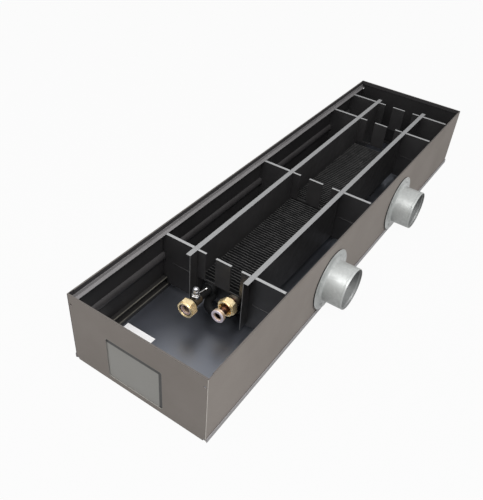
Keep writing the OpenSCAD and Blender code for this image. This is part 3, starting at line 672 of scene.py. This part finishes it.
def lathe(profile, origin, axis, segments):
    """Closed ring of a closed profile"""
    count = len(profile)
    faces = []
    for i in range(segments):
        j = (i + 1) % segments
        for k in range(count):
            m = (k + 1) % count
            faces.append((i * count + k, j * count + k, j * count + m, i * count + m))
    return turned_points(profile, origin, axis, segments), faces


def capped_lathe(profile, origin, axis, segments, radius_at=None):
    """Solid of revolution of an open profile that starts and ends near the axis"""
    count = len(profile)
    faces = []
    for i in range(segments):
        j = (i + 1) % segments
        for k in range(count - 1):
            faces.append((i * count + k, j * count + k, j * count + k + 1, i * count + k + 1))
    for k in (0, count - 1):
        faces.append(tuple(i * count + k for i in range(segments)))
    return turned_points(profile, origin, axis, segments, radius_at), faces


def arc(centre_r, centre_h, radius, start, stop, steps):
    """Points of an arc in the (radius, height) plane, angles in degrees"""
    points = []
    for i in range(steps + 1):
        t = math.radians(start + (stop - start) * i / steps)
        points.append((centre_r + radius * math.cos(t), centre_h + radius * math.sin(t)))
    return points


def swept_tube(points, radii, sides):
    """Closed tube along points, with a radius at each of them"""
    verts, faces = [], []
    last = len(points) - 1
    normal = None
    for i, p in enumerate(points):
        ahead = (points[min(i + 1, last)] - points[max(i - 1, 0)]).normalized()
        if normal is None:
            _, normal, _ = frame_of(ahead)
        normal = (normal - ahead * normal.dot(ahead)).normalized()
        side = ahead.cross(normal)
        for k in range(sides):
            t = 2 * math.pi * k / sides
            verts.append(p + (normal * math.cos(t) + side * math.sin(t)) * radii[i])
    for i in range(last):
        for k in range(sides):
            m = (k + 1) % sides
            faces.append((i * sides + k, i * sides + m, (i + 1) * sides + m, (i + 1) * sides + k))
    faces.append(tuple(range(sides)))
    faces.append(tuple(last * sides + k for k in range(sides)))
    return verts, faces


def merged(parts):
    verts, faces = [], []
    for v, f in parts:
        start = len(verts)
        verts.extend(v)
        faces.extend(tuple(i + start for i in face) for face in f)
    return verts, faces


# Duct spigots

SPIGOT_WALL = 0.8 * MM
SPIGOT_BEAD = 0.9 * MM
MOUTH_DEPTH = 2.2 * SPIGOT_BEAD
FLANGE_OVER_TUBE = 19.0 * MM
ROOT_RING = 4.5 * MM
ROOT_HEIGHT = 3.0 * MM
FILLET = 0.7 * MM
GROOVE_BACK = 5.0 * MM
GROOVE_DEPTH = 0.5 * MM
GROOVE_HALF_INSIDE = 1.2 * MM
GROOVE_HALF = 1.0 * MM
GROOVE_FLOOR_HALF = 0.3 * MM
SPIGOT_SEGMENTS = 144
INSIDE_SLACK = 0.05 * MM


def spigot_profile(tube_r, flange_r, length):
    """Pressed sheet: flange, conical root, tube with a groove, and a mouth rolled inward"""
    t = SPIGOT_WALL
    groove = length - GROOVE_BACK
    points = [(tube_r - t, 0.0), (tube_r - t, groove - GROOVE_HALF_INSIDE)]
    points += [(tube_r - t - GROOVE_DEPTH, groove), (tube_r - t, groove + GROOVE_HALF_INSIDE)]
    points += [(tube_r - t, length - MOUTH_DEPTH)]
    points += arc(tube_r - SPIGOT_BEAD, length - SPIGOT_BEAD, SPIGOT_BEAD, 200, 0, 12)
    points += [(tube_r, groove + GROOVE_HALF)]
    points += [(tube_r - GROOVE_DEPTH, groove + GROOVE_FLOOR_HALF),
               (tube_r - GROOVE_DEPTH, groove - GROOVE_FLOOR_HALF)]
    points += [(tube_r, groove - GROOVE_HALF), (tube_r, t + ROOT_HEIGHT + FILLET)]
    points += arc(tube_r + FILLET, t + ROOT_HEIGHT + FILLET / 2, FILLET, 180, 225, 3)
    points += [(tube_r + ROOT_RING - FILLET, t + FILLET)]
    points += arc(tube_r + ROOT_RING + FILLET, t + FILLET, FILLET, 225, 270, 3)
    points += arc(flange_r - t / 2, t / 2, t / 2, 90, -90, 6)
    return points


def duct_spigot(which):
    lo, hi, mid = node_box(which + "_duct_spigot")
    flange_r = (hi.x - lo.x) / 2
    tube_r = flange_r - FLANGE_OVER_TUBE
    inner_r = tube_r - SPIGOT_WALL + INSIDE_SLACK

    def inside(centre):
        return math.hypot(centre.x - mid.x, centre.z - mid.z) < inner_r

    profile = spigot_profile(tube_r, flange_r, hi.y - lo.y)
    verts, faces = lathe(profile, (mid.x, hi.y, mid.z), (0, -1, 0), SPIGOT_SEGMENTS)
    # Faces inside the tube get the darker copy of the zinc: painted shade
    mesh_piece(which + "_spigot_pressed", verts, faces, "zinc", "trough",
               [which + "_duct_spigot"], 30, ("zinc_shaded_inside", inside))


RIVET_CIRCLE_R = 49.0 * MM
RIVET_ANGLES = (60, 150, 240, 330)
RIVET_SHANK_R = 1.6 * MM
RIVET_LENGTH = 3.6 * MM
RIVET_HEAD_R = 3.0 * MM
RIVET_HEAD_H = 1.4 * MM
# The head's outline over the rim and into the pulled pin's hole: share of its radius, height in millimetres
RIVET_DOME = ((1.0, 0.0), (1.0, 0.3), (0.86, 0.8), (0.6, 1.2), (0.38, 1.4), (0.32, 0.9))
PIN_HOLE_FLOOR = 0.85 * MM
RIVET_SEGMENTS = 24


def spigot_rivets(which):
    """Blind rivets: domed head with the pulled pin's hole"""
    lo, _, mid = node_box(which + "_spigot_rivets")
    face_y = lo.y + RIVET_HEAD_H
    profile = [(AXIS_GAP, -RIVET_LENGTH), (RIVET_SHANK_R, -RIVET_LENGTH), (RIVET_SHANK_R, 0.0)]
    profile += [(RIVET_HEAD_R * share, h * MM) for share, h in RIVET_DOME]
    profile += [(AXIS_GAP, PIN_HOLE_FLOOR)]
    parts = []
    for a in RIVET_ANGLES:
        t = math.radians(a)
        origin = (mid.x + RIVET_CIRCLE_R * math.cos(t), face_y, mid.z + RIVET_CIRCLE_R * math.sin(t))
        parts.append(capped_lathe(profile, origin, (0, -1, 0), RIVET_SEGMENTS))
    verts, faces = merged(parts)
    mesh_piece(which + "_spigot_blind_rivets", verts, faces, "zinc", "trough",
               [which + "_spigot_rivets"])


# Unions

NUT_BORE_R = 12.3 * MM
THREAD_PITCH = 1.8 * MM
THREAD_DEPTH = 0.22 * MM
THREAD_ROOT = 0.1 * MM
THREAD_START = 0.8 * MM
THREAD_BACK = 4.6 * MM
THREAD_STEPS = 48
THREAD_FADES = 6


def nut_thread(which, body):
    """Internal thread in the nut's bore, a helix of shallow ridges that fades out at both ends"""
    lo, hi, mid = node_box(which + "_union_nut")
    length = (hi.x - lo.x) - THREAD_BACK
    count = int(length / THREAD_PITCH * THREAD_STEPS)
    verts, faces = [], []
    for i in range(count + 1):
        angle = 2 * math.pi * i / THREAD_STEPS
        x = lo.x + THREAD_START + (length - 2 * THREAD_PITCH) * i / count
        depth = THREAD_DEPTH * min(1.0, THREAD_FADES * i / count, THREAD_FADES * (count - i) / count)
        ridge = ((NUT_BORE_R + THREAD_ROOT, 0.0), (NUT_BORE_R - depth, THREAD_PITCH * 0.5),
                 (NUT_BORE_R + THREAD_ROOT, THREAD_PITCH))
        for r, dx in ridge:
            verts.append((x + dx, mid.y + r * math.cos(angle), mid.z + r * math.sin(angle)))
    for i in range(count):
        for k in range(3):
            m = (k + 1) % 3
            faces.append((3 * i + k, 3 * i + m, 3 * i + 3 + m, 3 * i + 3 + k))
    faces.append((0, 1, 2))
    faces.append((3 * count, 3 * count + 1, 3 * count + 2))
    mesh_piece(which + "_nut_thread", verts, faces, "brass", body, smooth_angle=20)


PIPE_SEAT_R = 7.58 * MM
COLLAR_EDGE = 0.35 * MM
COLLAR_CHAMFER = 0.4 * MM
COLLAR_BORE_SKIN = 0.3 * MM
# Shares of the collar's radius
COLLAR_GROOVE_SHARE = 0.87
COLLAR_BACK_RIM_SHARE = 0.96
# Shares of the collar's length
FRONT_RIM_SHARE = 0.48
GROOVE_START_SHARE = 0.5
GROOVE_END_SHARE = 0.64
BACK_RIM_SHARE = 0.66
COLLAR_SEGMENTS = 72


def tail_collar(which):
    """Sealing collar: two rims with rounded edges, a groove and a bored inside"""
    lo, hi, mid = node_box(which + "_tail_collar")
    rim, length = (hi.z - lo.z) / 2, hi.x - lo.x
    groove, back = rim * COLLAR_GROOVE_SHARE, rim * COLLAR_BACK_RIM_SHARE
    e = COLLAR_EDGE
    profile = [(TAIL_BORE_R, COLLAR_CHAMFER), (TAIL_BORE_R + COLLAR_CHAMFER, 0.0)]
    profile += arc(rim - e, e, e, -90, 0, 4) + arc(rim - e, length * FRONT_RIM_SHARE - e, e, 0, 90, 4)
    profile += [(groove, length * GROOVE_START_SHARE), (groove, length * GROOVE_END_SHARE)]
    profile += arc(back - e, length * BACK_RIM_SHARE + e, e, -90, 0, 4)
    profile += arc(back - e, length - e, e, 0, 90, 4)
    profile += [(PIPE_SEAT_R, length), (PIPE_SEAT_R, length / 3), (TAIL_BORE_R, length / 3)]
    verts, faces = lathe(profile, (lo.x, mid.y, mid.z), (1, 0, 0), COLLAR_SEGMENTS)

    def in_bore(centre):
        return math.hypot(centre.y - mid.y, centre.z - mid.z) < TAIL_BORE_R + COLLAR_BORE_SKIN

    mesh_piece(which + "_collar_turned", verts, faces, "collar", "trough", [which + "_tail_collar"],
               second=("bore", in_bore))


# Air vent

VENT_SEGMENTS = 64
VENT_CORE_R = 0.3 * MM
VENT_NECK_R = 5.0 * MM
VENT_FLANGE_H = 2.0 * MM
VENT_LOW_EDGE = 0.4 * MM
VENT_TOP_EDGE = 0.5 * MM
VENT_SOCKET_R = 2.08 * MM
VENT_SOCKET_DEPTH = 4.1 * MM


def vent_body():
    lo, hi, mid = node_box("vent_body")
    flange = (hi.x - lo.x) / 2
    height = hi.z - lo.z
    flange_z = height - VENT_FLANGE_H
    socket_z = height - VENT_SOCKET_DEPTH
    profile = [(VENT_CORE_R, 0.0), (VENT_NECK_R, 0.0), (VENT_NECK_R, flange_z),
               (flange - VENT_LOW_EDGE, flange_z), (flange, flange_z + VENT_LOW_EDGE),
               (flange, height - VENT_TOP_EDGE),
               (flange - VENT_TOP_EDGE, height), (VENT_SOCKET_R, height), (VENT_SOCKET_R, socket_z),
               (VENT_CORE_R, socket_z)]
    verts, faces = lathe(profile, (mid.x, mid.y, lo.z), (0, 0, 1), VENT_SEGMENTS)
    mesh_piece("vent_body_turned", verts, faces, "chrome_bright", "trough", ["vent_body"])


KNOB_TOP_R = 0.1 * MM
KNOB_STEM_R = 2.0 * MM
KNOB_SIDE_H = 7.0 * MM
# The knob's side: inset from its radius and height above its foot, in millimetres
KNOB_SIDE = ((0.5, 0.0), (0.0, 0.6), (0.0, 0.9), (0.0, 3.5), (0.0, 5.3), (0.0, 5.5), (0.5, 5.8),
             (0.5, 6.2), (0.0, 6.5))
KNOB_DOME_STEPS = 8
KNOB_SEGMENTS = 180
KNURLS = 30
KNURL_DEPTH = 0.16 * MM
KNURL_FOOT = 0.6 * MM
KNURL_TOP = 5.4 * MM
KNURL_RIM_SHARE = 0.9


def vent_knob():
    """Domed knob with a knurled side"""
    _, _, axis = node_box("vent_body")
    lo, hi, _ = node_box("vent_knob")
    radius = (hi.x - lo.x) / 2
    foot = hi.z - radius - KNOB_SIDE_H

    def knurled(r, h, angle):
        on_rim = KNURL_FOOT < h < KNURL_TOP and r > KNURL_RIM_SHARE * radius
        return r - (KNURL_DEPTH * (0.5 + 0.5 * math.cos(KNURLS * angle)) if on_rim else 0.0)

    profile = [(KNOB_TOP_R, lo.z - foot), (KNOB_STEM_R, lo.z - foot), (KNOB_STEM_R, 0.0)]
    profile += [(radius - inset * MM, h * MM) for inset, h in KNOB_SIDE]
    for i in range(KNOB_DOME_STEPS + 1):
        t = math.radians(90 * i / KNOB_DOME_STEPS)
        profile.append((max(KNOB_TOP_R, radius * math.cos(t)), KNOB_SIDE_H + radius * math.sin(t)))
    verts, faces = capped_lathe(profile, (axis.x, axis.y, foot), (0, 0, 1), KNOB_SEGMENTS, knurled)
    # The knob takes the darker chrome, a painted reflection
    mesh_piece("vent_knob_domed", verts, faces, "chrome", "vent_valve", ["vent_knob"], 40)


SPOUT_RING_IN = 5.08 * MM
SPOUT_RING_OUT = 7.58 * MM
SPOUT_EDGE = 0.4 * MM
SPOUT_DEGREES = -10
SPOUT_SIDES = 20
# The spout's tube: distance from the vent's axis and radius, in millimetres
SPOUT_TUBE = ((6.6, 2.0), (8.5, 1.9), (10.0, 1.5), (14.0, 1.4), (20.0, 1.4), (22.2, 1.5), (23.6, 2.0),
              (24.6, 2.0), (25.0, 1.6))


def vent_spout():
    """Ring round the vent's neck, with a thin tube that ends in a bead"""
    lo, hi, _ = node_box("vent_spout")
    _, _, axis = node_box("vent_body")
    centre = Vector((axis.x, axis.y, lo.z))
    height = hi.z - lo.z
    e = SPOUT_EDGE
    profile = [(SPOUT_RING_IN, 0.0), (SPOUT_RING_OUT - e, 0.0), (SPOUT_RING_OUT, e),
               (SPOUT_RING_OUT, height - e), (SPOUT_RING_OUT - e, height), (SPOUT_RING_IN, height)]
    ring = lathe(profile, centre, (0, 0, 1), VENT_SEGMENTS)
    turn = math.radians(SPOUT_DEGREES)
    ahead = Vector((math.cos(turn), math.sin(turn), 0))
    start = centre + Vector((0, 0, height / 2))
    points = [start + ahead * (d * MM) for d, _ in SPOUT_TUBE]
    tube = swept_tube(points, [r * MM for _, r in SPOUT_TUBE], SPOUT_SIDES)
    verts, faces = merged([ring, tube])
    mesh_piece("vent_spout_ring", verts, faces, "chrome_bright", "vent_swivel", ["vent_spout"])


# Fins

FIN_PITCH = 6.5 * MM
FIN_THICKNESS = 0.5 * MM
FIN_STEPS = 28
FIN_WAVE = 0.45 * MM
FIN_WAVES = 7
WAVE_FADES = 4.0
FIN_LEAN = 0.35 * MM
LEAN_PHASE = 12.9898
TUBE_Y = 25.0 * MM
TUBE_ZS = (55.0 * MM, 29.0 * MM)
# A fin's collar: radius and distance from the fin, in millimetres
FIN_COLLAR = ((7.58, 0.0), (9.2, 0.0), (8.4, 0.8), (8.2, 3.2), (7.58, 3.2))
FIN_COLLAR_SEGMENTS = 20


def fin_sheet(x, lo, hi, lean, wave_height):
    """One fin, wavy along its width and calm towards its ends, whose top leans"""
    verts, faces = [], []
    for k in range(FIN_STEPS + 1):
        y = lo.y + (hi.y - lo.y) * k / FIN_STEPS
        calm = min(1.0, WAVE_FADES * k / FIN_STEPS, WAVE_FADES * (FIN_STEPS - k) / FIN_STEPS)
        wave = wave_height * calm * math.sin(2 * math.pi * FIN_WAVES * k / FIN_STEPS)
        for dx in (-FIN_THICKNESS / 2, FIN_THICKNESS / 2):
            verts.append((x + dx + wave, y, lo.z))
            verts.append((x + dx + (wave + lean), y, hi.z))
    for k in range(FIN_STEPS):
        a, b = 4 * k, 4 * k + 4
        faces += [(a, a + 1, b + 1, b), (a + 2, b + 2, b + 3, a + 3), (a + 1, a + 3, b + 3, b + 1),
                  (a, b, b + 2, a + 2)]
    end = 4 * FIN_STEPS
    faces += [(0, 2, 3, 1), (end, end + 1, end + 3, end + 2)]
    return verts, faces


def fins():
    """Thin fins with a shallow wave, flat at both ends of the pack, and a collar round each tube hole"""
    lo, hi, _ = node_box("fin_pack")
    collar = [(r * MM, h * MM) for r, h in FIN_COLLAR]
    last = int(round((hi.x - lo.x - FIN_THICKNESS) / FIN_PITCH))
    parts = []
    for i in range(last + 1):
        x = lo.x + FIN_THICKNESS / 2 + i * FIN_PITCH
        inner = 0 < i < last
        lean = FIN_LEAN * math.sin(LEAN_PHASE * i) if inner else 0.0
        parts.append(fin_sheet(x, lo, hi, lean, FIN_WAVE if inner else 0.0))
        if i == last:
            continue
        for side in (-1, 1):
            for z in TUBE_ZS:
                parts.append(lathe(collar, (x, side * TUBE_Y, z), (1, 0, 0), FIN_COLLAR_SEGMENTS))
    verts, faces = merged(parts)
    mesh_piece("fin_pack_waved", verts, faces, "fins", "trough", ["fin_pack"], 50)


# Studio

CAMERA_PLACE = (-0.8972, -0.4012, 0.7522)
VIEW_AZIMUTH = 58.76
VIEW_DOWN = 39.33
VIEW_ROLL = 4.87
LENS = 43.01
SENSOR_WIDTH = 36.0
CLIP_NEAR = 0.01
CLIP_FAR = 60.0


def camera():
    az, down, roll = (math.radians(v) for v in (VIEW_AZIMUTH, VIEW_DOWN, VIEW_ROLL))
    ahead = Vector((math.sin(az) * math.cos(down), math.cos(az) * math.cos(down), -math.sin(down)))
    right = ahead.cross(Vector((0, 0, 1))).normalized()
    up = right.cross(ahead)
    right, up = right * math.cos(roll) + up * math.sin(roll), up * math.cos(roll) - right * math.sin(roll)
    turn = Matrix((right, up, -ahead)).transposed()
    cam = bpy.data.objects.new("camera", bpy.data.cameras.new("camera"))
    scene.collection.objects.link(cam)
    cam.data.lens = LENS
    cam.data.sensor_width = SENSOR_WIDTH
    cam.data.clip_start = CLIP_NEAR
    cam.data.clip_end = CLIP_FAR
    cam.matrix_world = Matrix.Translation(CAMERA_PLACE) @ turn.to_4x4()
    scene.camera = cam


AMBIENT = 0.4
# Each lamp's name, place, target, size and power
LAMPS = (
    ("near_overhead", (-0.72, -0.12, 1.05), (-0.45, 0.0, 0.1), (0.9, 0.7), 9.5),
    ("duct_side_key", (-0.45, -1.5, 2.6), (-0.2, 0.0, 0.05), (1.2, 0.8), 36.0),
    ("near_left_fill", (-1.2, 0.75, 0.9), (-0.5, 0.1, 0.1), (0.6, 0.6), 3.4),
)
FLOOR_HALF = 12.0
FLOOR_GREY = 0.2
FLOOR_GLOW_SHARE = 0.96
WHITE = (1.0, 1.0, 1.0, 1.0)


def lamp(name, place, target, size, power):
    light = bpy.data.lights.new(name, "AREA")
    light.shape = "RECTANGLE"
    light.size, light.size_y = size
    light.energy = power
    obj = bpy.data.objects.new(name, light)
    scene.collection.objects.link(obj)
    aim = Vector(target) - Vector(place)
    obj.matrix_world = Matrix.Translation(place) @ aim.to_track_quat("-Z", "Y").to_matrix().to_4x4()


def seen(nodes, links):
    """1 for camera, glossy and transmission rays, which see the white background"""
    path = nodes.new("ShaderNodeLightPath")
    either = maths(nodes, links, "MAXIMUM", path.outputs["Is Camera Ray"], path.outputs["Is Glossy Ray"])
    return maths(nodes, links, "MAXIMUM", either, path.outputs["Is Transmission Ray"])


def white_world():
    world = bpy.data.worlds.new("studio")
    scene.world = world
    world.use_nodes = True
    nodes, links = world.node_tree.nodes, world.node_tree.links
    background = nodes["Background"]
    background.inputs["Color"].default_value = WHITE
    strength = spread(nodes, links, seen(nodes, links), AMBIENT, 1.0, 0.0, 1.0)
    links.new(strength, background.inputs["Strength"])


def white_floor():
    """Floor that looks white but still takes a little of the object's shadow"""
    mesh = bpy.data.meshes.new("studio_floor")
    corners = [(-FLOOR_HALF, -FLOOR_HALF, 0), (FLOOR_HALF, -FLOOR_HALF, 0), (FLOOR_HALF, FLOOR_HALF, 0),
               (-FLOOR_HALF, FLOOR_HALF, 0)]
    mesh.from_pydata(corners, [], [(0, 1, 2, 3)])
    floor = bpy.data.objects.new("studio_floor", mesh)
    scene.collection.objects.link(floor)
    mat = bpy.data.materials.new("studio_floor")
    mat.use_nodes = True
    nodes, links = mat.node_tree.nodes, mat.node_tree.links
    nodes.clear()
    out = nodes.new("ShaderNodeOutputMaterial")
    diffuse = nodes.new("ShaderNodeBsdfDiffuse")
    diffuse.inputs["Color"].default_value = (FLOOR_GREY, FLOOR_GREY, FLOOR_GREY, 1.0)
    glow = nodes.new("ShaderNodeEmission")
    glow.inputs["Color"].default_value = WHITE
    glow.inputs["Strength"].default_value = 1.0
    mix = nodes.new("ShaderNodeMixShader")
    links.new(maths(nodes, links, "MULTIPLY", seen(nodes, links), FLOOR_GLOW_SHARE), mix.inputs[0])
    links.new(diffuse.outputs[0], mix.inputs[1])
    links.new(glow.outputs[0], mix.inputs[2])
    links.new(mix.outputs[0], out.inputs["Surface"])
    mesh.materials.append(mat)


camera()
dress_cad()
for end in ("near", "far"):
    duct_spigot(end)
    spigot_rivets(end)
for pipe in ("supply", "return"):
    nut_thread(pipe, pipe + "_nut")
for pipe in ("supply", "return"):
    tail_collar(pipe)
vent_body()
vent_knob()
vent_spout()
fins()
white_world()
for settings in LAMPS:
    lamp(*settings)
white_floor()

scene.view_settings.view_transform = "Standard"
